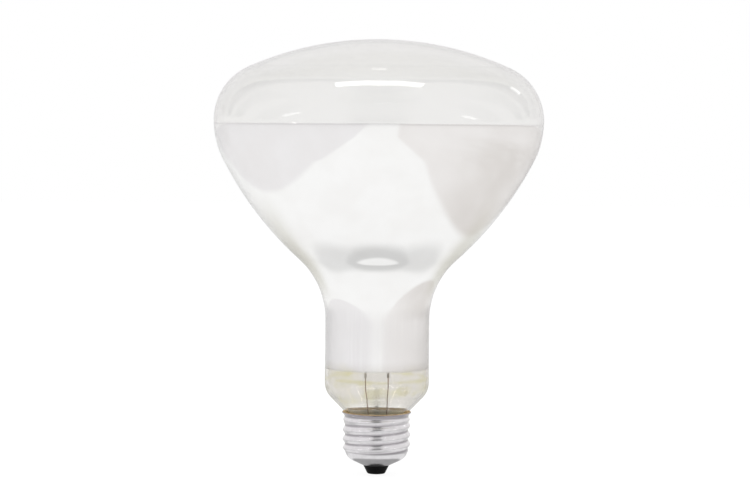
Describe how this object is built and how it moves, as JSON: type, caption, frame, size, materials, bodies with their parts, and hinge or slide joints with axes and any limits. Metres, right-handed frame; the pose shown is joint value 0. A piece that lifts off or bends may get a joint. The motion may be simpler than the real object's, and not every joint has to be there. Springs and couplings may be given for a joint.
{
  "type": "infrared heat lamp bulb",
  "caption": "Reflector heat lamp bulb with a clear domed face, a mirrored bowl and neck, a glass stem carrying a coiled filament, and a threaded metal base with a black insulator.",
  "frame": {"origin": "on the lamp's axis, on the flat of the solder drop under the centre contact, which is its lowest point", "axes": "+Z along the axis from the base to the domed face, -Y towards the viewer of the picture, +X to that viewer's right"},
  "size_m": [0.127, 0.127, 0.1682],
  "materials": {
    "bulb_glass": "clear blown glass",
    "silver_film": "vapour-coated mirror on the inside of the glass",
    "stem_glass": "clear glass with a yellow-green tint",
    "nickel_lead": "drawn nickel wire",
    "copper_lead": "drawn copper wire",
    "tungsten_coil": "coiled tungsten wire",
    "support_wire": "drawn molybdenum wire",
    "base_aluminium": "rolled bright sheet",
    "black_glass": "black moulded glass",
    "contact_brass": "stamped brass",
    "tin_solder": "soft solder",
    "brown_cement": "baked basing cement"
  },
  "bodies": {
    "root": {"glass_envelope": "bulb_glass", "reflector_film": "silver_film", "stem_flare": "stem_glass", "exhaust_tube": "stem_glass", "support_rod": "stem_glass", "inner_lead_left": "nickel_lead", "inner_lead_right": "nickel_lead", "outer_lead_left": "copper_lead", "outer_lead_right": "copper_lead", "filament": "tungsten_coil", "screw_shell": "base_aluminium", "base_insulator": "black_glass", "centre_contact": "contact_brass", "centre_solder": "tin_solder", "side_solder": "tin_solder", "basing_cement": "brown_cement", "filament_support_1": "support_wire", "filament_support_2": "support_wire", "filament_support_3": "support_wire", "filament_support_4": "support_wire", "filament_support_5": "support_wire"}
  },
  "joints": []
}
